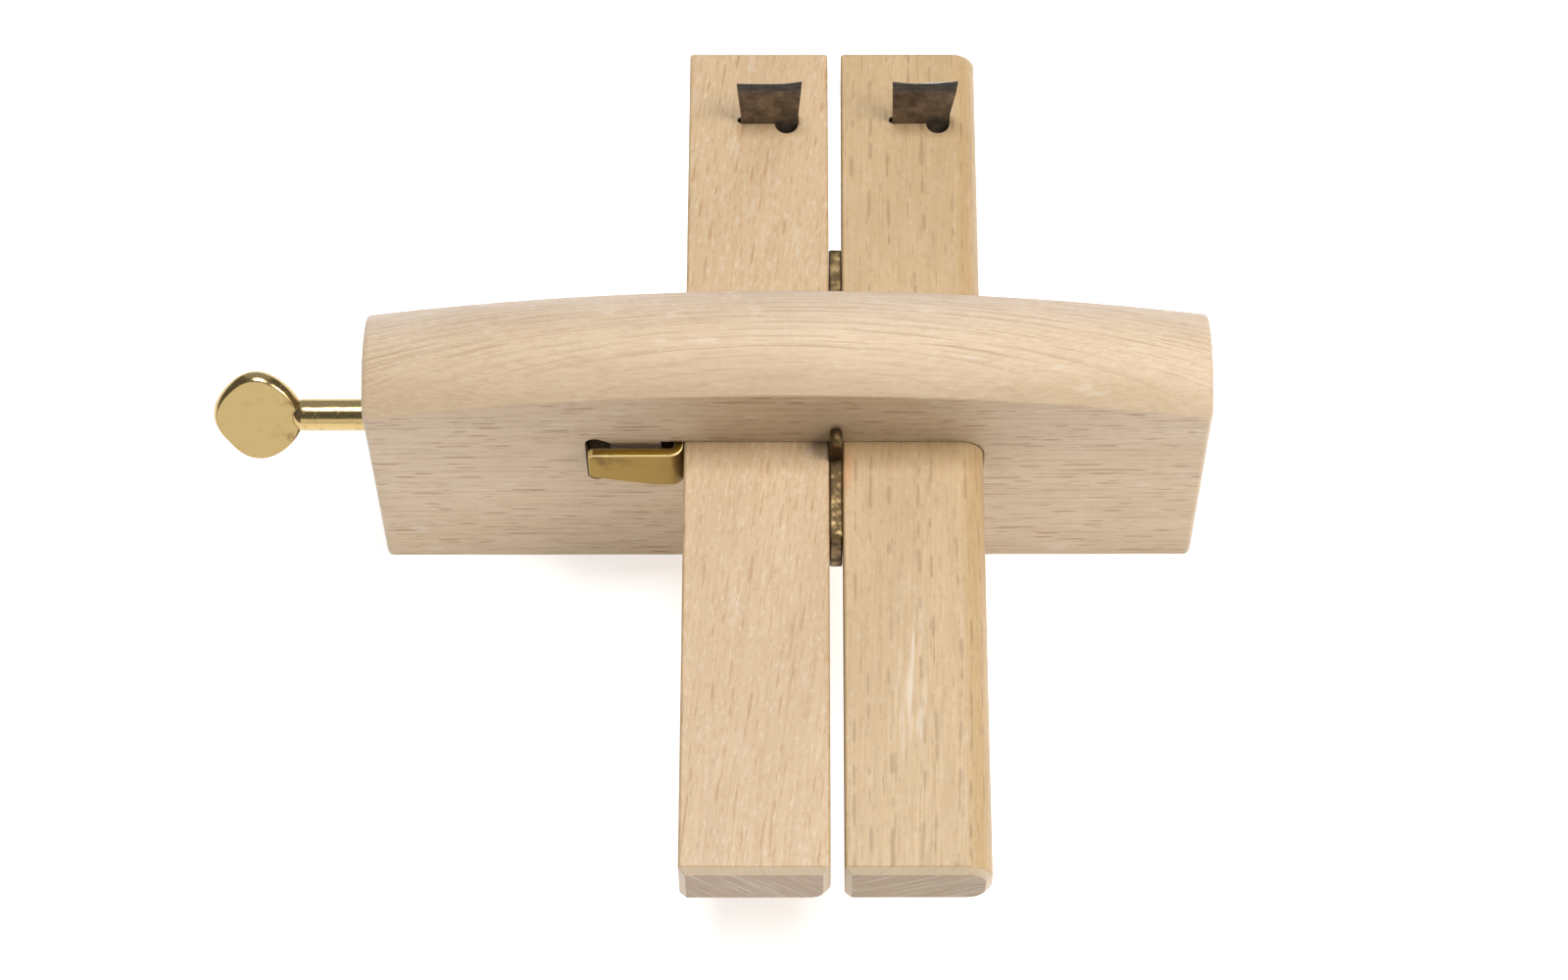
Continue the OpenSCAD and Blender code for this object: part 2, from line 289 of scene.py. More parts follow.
def make_beam(side):
    """A beam with chamfered ends, cut by its knife's slot, a pilot hole and a relief hole."""
    low, high = BEAMS[side]
    near_chamfer, far_chamfer = 1.0, 0.5

    def chamfer(size):
        """Distances from a beam's end, each with how far the outline is drawn in there."""
        return [(0.0, size + 0.04), (0.04, size - 0.06), (size - 0.16, 0.13), (size, 0.03), (size + 0.2, 0.0)]

    stations = [(low.y + d, inset) for d, inset in chamfer(near_chamfer)]
    stations += [(y, 0.0) for y in spread(low.y + 3, high.y - 3, 24)]
    stations += [(high.y - d, inset) for d, inset in reversed(chamfer(far_chamfer))]
    rings = [[(px, y, pz) for px, pz in beam_outline(side, inset)] for y, inset in stations]
    beam = solid(f"beam_{side}_body", rings)

    x = BLADES[side][0]
    pilot_r, relief_x, relief_r = 0.5, 2.5, 1.75
    half_w, half_t = BLADE_HALF_W + FIT, BLADE_T / 2 + FIT
    slot = [(x - half_w, BLADE_Y - half_t), (x + half_w, BLADE_Y - half_t),
            (x + half_w, BLADE_Y + half_t), (x - half_w, BLADE_Y + half_t)]
    pilot = arc((x - half_w, BLADE_Y), pilot_r, 0, 345, 23)
    relief = arc((x + relief_x, BLADE_Y - BLADE_T / 2), relief_r, 0, 350, 35)
    tools = [solid("slot", [[(px, py, z) for px, py in outline] for z in (BEAM_LOW - 1, BEAM_TOP + 1)])
             for outline in (slot, pilot, relief)]
    return combine(beam, tools)


def make_blade(side):
    """A knife: a flat plate that flares above the beam to a double-bevelled hollow edge."""
    x, lean = BLADES[side]
    low, high = [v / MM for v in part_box(f"blade_{side}")]
    edge_half, bevel_h, neck_z = 4.8, 1.9, BEAM_TOP + 2.4
    columns, soft = spread(0, 1, 20), 0.12

    def edge_z(u):
        if side == "left":
            return high.z - 0.62 + 0.6 * max(0.0, (u - 0.62) / 0.38) ** 2 - 0.10 * math.sin(math.pi * u)
        return high.z - 0.62 * 4 * u * (1 - u) - 0.15 * (1 - u)

    def span(z):
        t = min(1.0, max(0.0, (z - neck_z) / (high.z - neck_z)))
        return (x - BLADE_HALF_W + t * (BLADE_HALF_W - edge_half + lean),
                x + BLADE_HALF_W + t * (edge_half - BLADE_HALF_W + lean))

    def row(z_of, half_t):
        front = []
        for u in columns:
            z = z_of(u)
            a, b = span(z)
            front.append((a + (b - a) * u, z, half_t))
        return front

    rows = [row(lambda u: low.z, BLADE_T / 2 - soft), row(lambda u: low.z + soft, BLADE_T / 2)]
    for z in spread(low.z + 1, BEAM_TOP, 6) + [neck_z]:
        rows.append(row(lambda u, z=z: z, BLADE_T / 2))
    for k in (0.35, 0.7):
        rows.append(row(lambda u, k=k: neck_z + k * (edge_z(u) - bevel_h - neck_z), BLADE_T / 2))
    rows.append(row(lambda u: edge_z(u) - bevel_h, BLADE_T / 2))
    rows.append(row(lambda u: edge_z(u) - bevel_h * 0.5, BLADE_T / 2 * 0.56))
    rows.append(row(lambda u: edge_z(u) - 0.04, 0.07))
    rows.append(row(lambda u: edge_z(u), 0.02))
    rings = []
    for line in rows:
        front = [(px, BLADE_Y - h, pz) for px, pz, h in line]
        back = [(px, BLADE_Y + h, pz) for px, pz, h in reversed(line)]
        rings.append(front + back)
    return solid(f"knife_{side}", rings, angle=12)


# ---------------------------------------------------------------- brass pieces
def wobble(point, scale, seed):
    """A smooth random value from about -1 to 1."""
    return noise.noise(Vector(point) * scale + Vector((seed, 0.0, 0.0)))


def make_plate():
    """The plate between the beams: two ears with domed tops that hug the fence, and two hammered tails."""
    low, high = PLATE_LOW, PLATE_HIGH
    reach, corner_r, ear_y, ear_w = high.y, 0.9, HALF_T + FIT, 3.0
    ear_r = ear_w / 2
    ear_mid_y, ear_mid_z = ear_y + ear_r, high.z - ear_r

    def top(y):
        a = abs(y)
        if ear_y <= a <= ear_y + ear_w:
            return ear_mid_z + math.sqrt(max(0.0, ear_r ** 2 - (a - ear_mid_y) ** 2))
        into = max(0.0, a - (reach - corner_r))
        return BEAM_TOP - corner_r + math.sqrt(max(0.0, corner_r ** 2 - into ** 2))

    half = [0.0, 3.0, 6.0, ear_y - 0.02]
    half += [ear_mid_y - ear_r * math.cos(math.radians(a)) for a in spread(0, 180, 18)]
    half += [ear_y + ear_w + 0.02] + spread(ear_y + ear_w + 0.2, reach - corner_r, 60)
    half += [reach - corner_r + corner_r * math.sin(math.radians(a)) for a in spread(12, 90, 7)]
    stations = sorted(set(round(y, 4) for s in half for y in (s, -s)))
    soft, dent_depth, rings = 0.28, 0.09, []
    for y in stations:
        at_end = max(0.0, abs(y) - (reach - soft)) / soft
        inset = soft * (1 - math.sqrt(max(0.0, 1 - at_end ** 2))) * 0.9
        z0 = low.z + (BEAM_TOP - top(y) if top(y) < BEAM_TOP else 0.0)
        at_ear = min(1.0, max(0.0, (top(y) - BEAM_TOP) / 0.8))
        dome = soft + at_ear * ((high.x - low.x) / 2 - 0.05 - soft)
        outline = soft_rect((low.x + inset, z0), (high.x - inset, top(y)), [dome, dome, soft, soft], 4)
        tail = min(1.0, max(0.0, (abs(y) - ear_y - ear_w - 0.3) / 1.2))
        ring = []
        for px, pz in outline:
            if pz > BEAM_TOP - 0.7 and tail:
                dent = 0.5 + 0.6 * wobble((px * 1.2, y * 0.3, 0.0), 1.0, 3.1)
                dent += 0.3 * wobble((px, y * 0.5, 0.0), 2.1, 8.4)
                pz -= dent_depth * tail * max(0.0, dent)
            ring.append((px, y, pz))
        rings.append(ring)
    return solid("spacer_plate", rings, angle=50)


def make_shoe():
    """The clamp shoe: a strip folded round the mortise's wall, its flanges narrowing to their free ends."""
    sheet, gap, reach = SHOE_SHEET, 0.6, SHOE_REACH
    web_x, end_x = SHOE_HIGH.x, SHOE_LOW.x
    inner = HALF_T + gap
    mean_r = gap + sheet / 2
    fold = (web_x - sheet - gap, inner - gap)
    path = []
    for x in [end_x + d for d in (0.0, 0.05, 0.15, 0.3, 0.5, 0.75, 1.0)] + spread(end_x + 2, fold[0], 8):
        path.append(((x, -fold[1] - mean_r), (0.0, -1.0), x - end_x))
    for a in spread(-90, 0, 10)[1:]:
        n = (math.cos(math.radians(a)), math.sin(math.radians(a)))
        path.append(((fold[0] + mean_r * n[0], -fold[1] + mean_r * n[1]), n, reach))
    path += [((web_x - sheet / 2, y), (1.0, 0.0), reach) for y in spread(-fold[1], 0.0, 6)[1:]]
    path += [((p[0], -p[1]), (n[0], -n[1]), s) for p, n, s in reversed(path[:-1])]
    low, high = SHOE_LOW.z, SHOE_HIGH.z
    rise, slope_l, corner_r, soft = 2.3, 9.4, 1.0, 0.3
    rings = []
    for (px, py), (nx, ny), s in path:
        bottom = low + rise * max(0.0, 1 - s / slope_l)
        cut = corner_r - math.sqrt(max(0.0, corner_r ** 2 - max(0.0, corner_r - s) ** 2))
        tuck = 0.25 - math.sqrt(max(0.0, 0.25 ** 2 - max(0.0, 0.25 - s) ** 2))
        sag = 0.12 * wobble((px, py, 0.0), 0.35, 5.5) if s > 1.5 else 0.0
        outline = soft_rect((-sheet / 2 + tuck, bottom + cut), (sheet / 2 - tuck, high - cut - max(0.0, sag)),
                            [soft] * 4, 4)
        rings.append([(px + nx * t, py + ny * t, z) for t, z in outline])
    shoe = solid("shoe_strip", rings, angle=40)
    back_x, floor_x = web_x - sheet - 1, web_x - sheet + 0.4
    dimple = tube("dimple", [(back_x, 1.6), (floor_x - 0.1, 1.6), (floor_x, 1.4)], (SCREW_Y, SCREW_Z))
    return combine(shoe, [dimple], angle=40)


def make_nut():
    """The captive nut: a block with softened edges and a plain hole, countersunk at both ends."""
    soft, rings = 0.3, []
    for x, inset in ((NUT_LOW.x, soft), (NUT_LOW.x + 0.1, 0.1), (NUT_LOW.x + soft, 0.0),
                     (NUT_HIGH.x - soft, 0.0), (NUT_HIGH.x - 0.1, 0.1), (NUT_HIGH.x, soft)):
        outline = soft_rect((NUT_LOW.y + inset, NUT_LOW.z + inset), (NUT_HIGH.y - inset, NUT_HIGH.z - inset),
                            [0.5] * 4, 4)
        rings.append([(x, y, z) for y, z in outline])
    nut = solid("nut_block", rings)
    start, end, cone = NUT_LOW.x - OVER, NUT_HIGH.x + OVER, 0.8
    hole = tube("hole", [(start, HOLE_R + cone), (start + cone, HOLE_R), (end - cone, HOLE_R),
                         (end, HOLE_R + cone)], (SCREW_Y, SCREW_Z))
    return combine(nut, [hole])


PADDLE_RADII = (6.9, 6.5, 6.65, 6.0, 6.1, 5.6, 6.4, 6.6)


def paddle_radius(angle):
    """Radius of the paddle's outline, a soft lozenge drawn through eight radii."""
    step = (angle % (2 * math.pi)) / (2 * math.pi) * 8
    i, u = int(step) % 8, step - int(step)
    p = [PADDLE_RADII[(i + k) % 8] for k in (-1, 0, 1, 2)]
    return 0.5 * (2 * p[1] + u * (p[2] - p[0]) + u * u * (2 * p[0] - 5 * p[1] + 4 * p[2] - p[3])
                  + u ** 3 * (3 * p[1] - p[0] - 3 * p[2] + p[3]))


def make_screw():
    """The thumb screw: a flat paddle, a plain shank with a rounded start, and a thread at the inner end."""
    turn, thick, paddle_r = math.radians(51), 3.2, 6.1
    centre_x = SCREW_LOW.x + paddle_r
    normal = Vector((0.0, -math.sin(turn), math.cos(turn)))
    rise = Vector((0.0, math.cos(turn), math.sin(turn)))
    axis = Vector((0.0, SCREW_Y, SCREW_Z))

    def disc(height, inset):
        ring = []
        for a in around(96):
            r = paddle_radius(a) - inset * (0.65 + 0.35 * math.sin(a))
            p = axis + Vector((centre_x + r * math.cos(a), 0, 0)) + rise * (r * math.sin(a)) + normal * height
            ring.append(tuple(p))
        return ring

    half, edge_r, turned = thick / 2, 0.3, math.radians(35)
    rim_r = (half - edge_r * (1 - math.cos(turned))) / math.cos(turned)
    rim_inset = rim_r * (1 - math.sin(turned))
    levels = [(-half, 5.0), (-half, 3.0), (-half, 1.6)]
    for a in spread(0, turned, 4):
        levels.append((-half + edge_r * (1 - math.cos(a)),
                       rim_inset + edge_r * (math.sin(turned) - math.sin(a))))
    for a in spread(turned, math.pi / 2, 10)[1:]:
        levels.append((-rim_r * math.cos(a), rim_r * (1 - math.sin(a))))
    levels += [(-h, i) for h, i in reversed(levels[:-1])]
    paddle = solid("paddle_screw", [disc(h, i) for h, i in levels], angle=50)

    tip_x, pitch, thread_depth = SCREW_HIGH.x, 0.8, 0.42
    sides = 64

    def section(x, radius, thread=0.0):
        ring = []
        for k, a in enumerate(around(sides)):
            phase = (x / pitch - k / sides) % 1.0
            r = radius - thread * abs(2 * phase - 1)
            p = axis + Vector((x, 0, 0)) + rise * (r * math.sin(a)) + normal * (r * math.cos(a))
            ring.append(tuple(p))
        return ring

    rings, start_x, start_l = [], centre_x + 4.9, 2.0
    for a in spread(6, 90, 12):
        r = SHANK_R * math.sin(math.radians(a))
        rings.append(section(start_x + start_l * (1 - math.cos(math.radians(a))), r))
    thread_x = NUT_LOW.x - 3.0
    rings += [section(x, SHANK_R) for x in spread(centre_x + 8.0, thread_x - 0.4, 12)]
    rings += [section(x, SHANK_R, thread_depth * min(1.0, (x - thread_x) / 1.2))
              for x in spread(thread_x, tip_x - 1.5, 110)]
    rings += [section(tip_x - 1.3, SHANK_R - 0.45), section(tip_x - 0.95, 1.55),
              section(tip_x - 0.15, 1.5), section(tip_x, 1.3)]
    shank = solid("shank", rings, angle=50)
    return combine(paddle, [shank], "UNION", angle=24)


# ---------------------------------------------------------------- materials
def srgb(r, g, b):
    """A linear colour, with full alpha, from display values of 0 to 255."""
    line = lambda c: c / 12.92 if c <= 0.04045 else ((c + 0.055) / 1.055) ** 2.4
    return (line(r / 255), line(g / 255), line(b / 255), 1.0)


class Shader:
    """One material. Its methods add nodes and hand back the sockets that carry their results."""

    def __init__(self, name):
        self.material = bpy.data.materials.new(name)
        self.material.use_nodes = True
        self.tree = self.material.node_tree
        self.bsdf = self.tree.nodes["Principled BSDF"]
        coord = self.tree.nodes.new("ShaderNodeTexCoord")
        self.normal = coord.outputs["Normal"]
        self.point = self.stretch(coord.outputs["Object"], (1000.0, 1000.0, 1000.0))

    def node(self, kind, values, **settings):
        made = self.tree.nodes.new("ShaderNode" + kind)
        for key, value in settings.items():
            setattr(made, key, value)
        for key, value in values.items():
            if isinstance(value, bpy.types.NodeSocket):
                self.tree.links.new(value, made.inputs[key])
            else:
                made.inputs[key].default_value = value
        return made

    def math(self, operation, a, b=0.0, c=0.0):
        return self.node("Math", {0: a, 1: b, 2: c}, operation=operation).outputs[0]

    def stretch(self, vector, factors):
        return self.node("VectorMath", {0: vector, 1: factors}, operation="MULTIPLY").outputs[0]

    def dot(self, a, b):
        return self.node("VectorMath", {0: a, 1: b}, operation="DOT_PRODUCT").outputs["Value"]

    def xyz(self, x, y, z):
        return self.node("CombineXYZ", {0: x, 1: y, 2: z}).outputs[0]

    def noise(self, vector, factors, detail=2.0, rough=0.5):
        """Noise whose grain is one over the factors, in mm."""
        return self.node("TexNoise", {"Vector": self.stretch(vector, factors), "Scale": 1.0, "Detail": detail,
                                      "Roughness": rough}).outputs[0]

    def ease(self, value, low, high, start=0.0, end=1.0):
        """Smooth step of value between low and high."""
        return self.node("MapRange", {0: value, 1: low, 2: high, 3: start, 4: end},
                         interpolation_type="SMOOTHSTEP").outputs[0]

    def ramp(self, value, stops):
        made = self.node("ValToRGB", {0: value})
        elements = made.color_ramp.elements
        while len(elements) < len(stops):
            elements.new(0.5)
        for element, (place, colour) in zip(elements, stops):
            element.position = place
            element.color = colour
        return made.outputs[0]

    def mix(self, share, a, b, blend="MIX"):
        return self.node("Mix", {0: share, 6: a, 7: b}, data_type="RGBA", blend_type=blend).outputs[2]

    def chains(self, u, l, spacing, length, half_w, cover, soft=0.6):
        """Mask of broken lines along the grain, a line to each spacing mm of u, in dashes of about length mm.
        half_w is the widest half width in mm, and cover the share of each line that its dashes take up."""
        place = self.math("DIVIDE", u, spacing)
        number = self.math("FLOOR", place)
        random = self.node("TexWhiteNoise", {"W": number}, noise_dimensions="1D").outputs["Value"]
        middle = self.math("MULTIPLY_ADD", random, 0.5, 0.25)
        across = self.math("SUBTRACT", self.math("FRACT", place), middle)
        run = self.xyz(self.math("MULTIPLY", number, 7.31), l, random)
        run = self.noise(run, (1.0, 1.0 / length, 31.7), 1.0)
        low, high = 0.62 - 0.3 * cover, 0.82 - 0.3 * cover
        reach = self.math("MULTIPLY", self.ease(run, low, high), half_w / spacing)
        edge = self.math("SUBTRACT", reach, self.math("ABSOLUTE", across))
        return self.ease(edge, 0.0, soft * half_w / spacing)

    def bump(self, height, distance, strength=1.0):
        made = self.node("Bump", {"Height": height, "Distance": distance * MM, "Strength": strength})
        self.tree.links.new(made.outputs[0], self.bsdf.inputs["Normal"])

    def paint(self, colour, roughness, **fixed):
        self.tree.links.new(colour, self.bsdf.inputs["Base Color"])
        self.tree.links.new(roughness, self.bsdf.inputs["Roughness"])
        for key, value in fixed.items():
            self.bsdf.inputs[key].default_value = value
        return self.material


def make_oak(name, radial, along, look):
    """Oak as a solid: growth layers across radial, fibres and pores along the grain, and paler end grain."""
    s = Shader(name)
    along = Vector(along).normalized()
    radial = Vector(radial)
    radial = (radial - radial.dot(along) * along).normalized()
    across = along.cross(radial)
    t, r, l = [s.dot(s.point, tuple(v)) for v in (across, radial, along)]
    w = s.xyz(t, r, l)
    sway = s.math("SUBTRACT", s.noise(w, (0.05, 0.05, 0.015)), 0.5)
    drift = s.math("SUBTRACT", s.noise(w, (0.11, 0.09, 0.02), 1.0), 0.5)
    jitter = s.math("SUBTRACT", s.noise(w, (0.9, 0.9, 0.25), 1.0), 0.5)
    r = s.math("MULTIPLY_ADD", sway, look["sway"], r)
    t = s.math("MULTIPLY_ADD", drift, look["sway"] * 0.8, t)
    t = s.math("MULTIPLY_ADD", jitter, look["jitter"], t)
    r = s.math("MULTIPLY_ADD", jitter, look["waver"], r)
    w = s.xyz(t, r, l)

    tone = s.noise(w, (0.12, 0.12, 0.03), 2.0)
    colour = s.ramp(tone, [(0.3, look["deep"]), (0.7, look["light"])])

    layer = s.math("FRACT", s.math("MULTIPLY_ADD", s.noise(w, (0.03, 0.5, 0.006)), 0.9,
                                   s.math("DIVIDE", r, look["ring"])))
    ring = s.math("MULTIPLY", s.ease(layer, 0.45, 0.93), s.ease(layer, 0.955, 1.0, 1.0, 0.0))
    broken = s.ease(s.noise(w, (0.35, 1.5, 0.09), 2.0), 0.38, 0.62)
    ring = s.math("MULTIPLY", ring, broken)
    flat = s.ease(s.math("ABSOLUTE", s.dot(s.normal, tuple(radial))), 0.75, 0.97, 1.0, look["flat_share"])
    ring = s.math("MULTIPLY", ring, flat)
    colour = s.mix(s.math("MULTIPLY", ring, look["ring_share"]), colour, look["ring_colour"])

    fibre = s.noise(w, (3.5, 3.5, 0.09), 3.0, 0.6)
    colour = s.mix(s.ease(fibre, 0.35, 0.72, 0.0, look["fibre_share"]), colour, look["fibre_colour"])

    fleck = s.noise(w, (2.6, 0.22, 0.75), 2.0, 0.6)
    colour = s.mix(s.ease(fleck, 0.55, 0.72, 0.0, look["fleck_share"]), colour, look["fleck_colour"])
    colour = s.mix(s.ease(fleck, 0.44, 0.3, 0.0, look["speck_share"]), colour, look["dash_colour"])

    dash = None
    upward = s.ease(s.dot(s.normal, (0.0, 0.0, 1.0)), 0.2, 0.5)
    for spacing, length, half_w, cover, share, top_share in look["chains"]:
        mask = s.chains(r if look["layered"] else t, l, spacing, length, half_w, cover)
        share_mask = s.math("MULTIPLY", mask, s.math("MULTIPLY_ADD", upward, top_share - share, share))
        if look["layered"]:
            share_mask = s.math("MULTIPLY", share_mask, flat)
        colour = s.mix(share_mask, colour, look["dash_colour"])
        dash = share_mask if dash is None else s.math("MAXIMUM", dash, share_mask)
    for (x, y), (wide, long), (faint, full), tint, share in look["marks"]:
        away = s.node("VectorMath", {0: s.point, 1: (x, y, BEAM_TOP)}, operation="SUBTRACT").outputs[0]
        away = s.stretch(away, (1 / wide, 1 / long, 0.0))
        away = s.node("VectorMath", {0: away}, operation="LENGTH").outputs["Value"]
        streak = s.noise(w, (1.6, 1.2, 0.1), 1.0)
        mark = s.math("MULTIPLY", s.ease(away, 1.0, 0.2), s.ease(streak, faint, full, 0.0, share))
        colour = s.mix(mark, colour, tint)

    if look["layered"]:
        # Painted sheen: the back half of the fence, towards +Y, is tinted greyer and bluer in its colour,
        # standing in for the grazing sheen of the cool light from behind.
        painted_back_sheen = s.math("MULTIPLY", s.ease(s.dot(s.point, (0.0, 1.0, 0.0)), -3.0, 8.0), 0.75)
        colour = s.mix(painted_back_sheen, colour, s.mix(1.0, colour, (0.97, 1.02, 1.2, 1.0), "MULTIPLY"))
    cloud = s.ease(s.noise(w, (0.55, 0.2, 0.16), 2.0, 0.6), look["cloud"], look["cloud"] + 0.12)
    colour = s.mix(s.math("MULTIPLY", cloud, look["cloud_share"]), colour, look["pale"])

    endwise = s.math("ABSOLUTE", s.dot(s.normal, tuple(along)))
    end = s.ease(endwise, 0.78, 0.97)
    rays = s.noise(w, (3.4, 0.08, 0.3), 2.0)
    end_colour = s.mix(1.0, colour, look["end"], "MULTIPLY")
    end_colour = s.mix(s.ease(rays, 0.52, 0.66, 0.0, 0.3), end_colour, look["pale"])
    slant = s.ease(endwise, 0.5, 0.66, 0.0, 0.4)
    colour = s.mix(slant, colour, look["pale"])
    colour = s.mix(end, colour, end_colour)

    s.bump(s.math("SUBTRACT", s.math("MULTIPLY_ADD", fibre, 0.5, s.math("MULTIPLY", fleck, 0.25)),
                  s.math("MULTIPLY", dash, 0.4)), 0.05)
    roughness = s.math("MULTIPLY_ADD", fibre, 0.2, look["rough"])
    return s.paint(colour, roughness)


def make_brass(name, look):
    """Brass with tarnish, soft scratches, darker pits and a painted highlight on its rounded edges."""
    s = Shader(name)
    stain = s.noise(s.point, (look["grain"],) * 3, 4.0, 0.62)
    cloud = s.noise(s.point, (look["grain"] * 0.3,) * 3, 2.0)
    scratch = s.noise(s.point, look["scratch"], 2.0, 0.6)
    pits = s.node("TexVoronoi", {"Vector": s.stretch(s.point, (2.6, 2.6, 2.6)), "Scale": 1.0})
    pit = s.ease(pits.outputs["Distance"], 0.16, 0.02)
    tarnish = s.ease(s.math("MULTIPLY_ADD", stain, 0.6, s.math("MULTIPLY", cloud, 0.4)),
                     look["clean"] - 0.08, look["clean"] + 0.12)
    colour = s.mix(tarnish, look["metal"], look["tarnish"])
    colour = s.mix(s.math("MULTIPLY", pit, look["pits"]), colour, look["tarnish"])
    up = s.math("ABSOLUTE", s.dot(s.normal, (0.0, 0.0, 1.0)))
    # Painted highlight: rounded edges between the flat tops and the sides get a lighter brass colour,
    # standing in for the light that they catch.
    painted_edge_highlight = s.math("MULTIPLY", s.ease(up, 0.3, 0.5), s.ease(up, 0.985, 0.93, 0.0, look["painted_edge_highlight"]))
    colour = s.mix(painted_edge_highlight, colour, look["painted_highlight_colour"])
    roughness = s.math("MULTIPLY_ADD", tarnish, look["rough_more"], look["rough"])
    roughness = s.math("MULTIPLY_ADD", scratch, 0.16, roughness)
    roughness = s.math("MULTIPLY_ADD", painted_edge_highlight, 0.15, roughness)
    height = s.math("MULTIPLY_ADD", scratch, look["scored"], s.math("MULTIPLY", stain, look["lump"]))
    s.bump(s.math("SUBTRACT", height, s.math("MULTIPLY", pit, 0.6)), 0.06)
    return s.paint(colour, roughness, Metallic=1.0)


def make_knife_steel():
    """Knife steel: brown forge scale, with a ground band at the cutting edge."""
    s = Shader("knife_steel")
    z = s.dot(s.point, (0.0, 0.0, 1.0))
    mottle = s.noise(s.point, (0.45, 0.45, 0.45), 5.0, 0.68)
    fine = s.noise(s.point, (5.0, 5.0, 5.0), 2.0)
    grind = s.noise(s.point, (0.35, 7.0, 7.0), 2.0)
    height = s.math("MULTIPLY_ADD", mottle, 0.5, z)
    ground_z, ground_soft = BEAM_TOP + 8.4, 0.4
    band = s.ease(height, ground_z, ground_z + ground_soft)
    scale_colour = s.ramp(mottle, [(0.34, srgb(82, 73, 64)), (0.5, srgb(110, 98, 86)),
                                   (0.66, srgb(142, 128, 110))])
    ground_colour = s.ramp(grind, [(0.35, srgb(66, 68, 71)), (0.65, srgb(100, 102, 106))])
    colour = s.mix(band, scale_colour, ground_colour)
    rough_scale = s.math("MULTIPLY_ADD", fine, 0.2, 0.45)
    roughness = s.math("MULTIPLY_ADD", band, -0.22, rough_scale)
    s.bump(s.math("MULTIPLY_ADD", mottle, 0.7, s.math("MULTIPLY", fine, 0.3)), 0.06)
    return s.paint(colour, roughness, Metallic=0.65)


def make_floor_paper():
    """Pale paper that glows a little, so that the floor stays even and white."""
    s = Shader("pale_paper")
    grain = s.noise(s.point, (0.5, 0.5, 0.5), 3.0)
    colour = s.ramp(grain, [(0.3, (0.88, 0.88, 0.88, 1)), (0.7, (0.92, 0.92, 0.92, 1))])
    glow = {"Emission Color": (1.0, 1.0, 1.0, 1.0), "Emission Strength": 0.56}
    return s.paint(colour, s.math("MULTIPLY_ADD", grain, 0.1, 0.85), **glow)


# ---------------------------------------------------------------- looks
OWN = 0.66


def wood(r, g, b):
    """The wood's own colour, from the colour that it shows under these lights."""
    shown = srgb(r, g, b)
    return (shown[0] * OWN, shown[1] * OWN, shown[2] * OWN, 1.0)


PALE = wood(240, 226, 206)
OAK = {
    "sway": 2.0, "jitter": 0.06, "waver": 0.0, "rough": 0.36, "layered": False, "flat_share": 0.4,
    "ring_colour": wood(176, 148, 116), "fibre_colour": wood(200, 170, 136), "fleck_colour": PALE,
    "cloud": 0.62, "cloud_share": 0.4, "pale": PALE, "end": srgb(214, 212, 214), "marks": (),
}
FENCE_OAK = dict(OAK, layered=True, rough=0.46, waver=0.12, sway=1.0, ring=0.9, ring_share=0.42,
                 fleck_share=0.2, speck_share=0.1, fibre_share=0.4,
                 light=wood(232, 206, 172), deep=wood(222, 193, 157), dash_colour=wood(154, 112, 72),
                 ring_colour=wood(172, 146, 118), flat_share=0.25,
                 chains=[(0.62, 6.0, 0.15, 0.38, 0.72, 0.1), (0.37, 4.0, 0.08, 0.45, 0.45, 0.05),
                         (0.6, 16.0, 0.07, 0.7, 0.0, 0.36)])
LEFT_OAK = dict(OAK, ring=1.6, ring_share=0.12, light=wood(218, 186, 144), deep=wood(207, 174, 132),
                dash_colour=wood(180, 136, 84), fleck_share=0.28, speck_share=0.35, cloud_share=0.18,
                fibre_colour=wood(196, 160, 118), fibre_share=0.5,
                chains=[(1.6, 5.0, 0.18, 0.4, 0.65, 0.65), (0.8, 3.5, 0.09, 0.45, 0.45, 0.45)])
RIGHT_OAK = dict(OAK, ring=2.1, ring_share=0.15, light=wood(213, 180, 133), deep=wood(202, 168, 121),
                 dash_colour=wood(164, 132, 90), fleck_share=0.12, speck_share=0.25, cloud_share=0.08,
                 fibre_colour=wood(188, 156, 110), fibre_share=0.6,
                 marks=[((17.0, -46.0), (3.0, 20.0), (0.44, 0.72), PALE, 0.6),
                        ((8.2, -13.0), (1.6, 5.0), (0.2, 0.55), wood(206, 142, 84), 0.6)],
                 chains=[(1.3, 3.8, 0.16, 0.62, 0.62, 0.62), (0.7, 3.0, 0.08, 0.5, 0.4, 0.4)])
BRASS = {
    "grain": 0.5, "scratch": (6.0, 1.0, 6.0), "scored": 0.3, "pits": 0.5, "lump": 0.3,
    "painted_edge_highlight": 0.0, "painted_highlight_colour": srgb(246, 222, 168), "rough_more": 0.2,
}
PLATE_BRASS = dict(BRASS, metal=srgb(138, 116, 80), tarnish=srgb(88, 72, 50), clean=0.44, grain=0.9,
                   scratch=(2.0, 0.8, 6.0), lump=0.7, rough=0.3)
# The shoe's rounded edges carry a painted highlight in their colour.
SHOE_BRASS = dict(BRASS, metal=srgb(138, 110, 44), tarnish=srgb(108, 80, 36), clean=0.58, grain=0.2,
                  scratch=(1.0, 5.0, 5.0), rough=0.3, painted_edge_highlight=0.85)
# Painted shade: the nut's brass is darkened beyond its tarnish, standing in for the shade of the deep pocket
# that it sits in.
NUT_BRASS_PAINTED_SHADE = dict(BRASS, metal=srgb(120, 96, 60), tarnish=srgb(62, 48, 34), clean=0.3, rough=0.45)
SCREW_BRASS = dict(BRASS, metal=srgb(180, 156, 108), tarnish=srgb(142, 116, 70), clean=0.6,
                   scratch=(1.2, 6.0, 6.0), scored=0.08, lump=0.45, rough=0.09)


# ---------------------------------------------------------------- scene
make_camera()

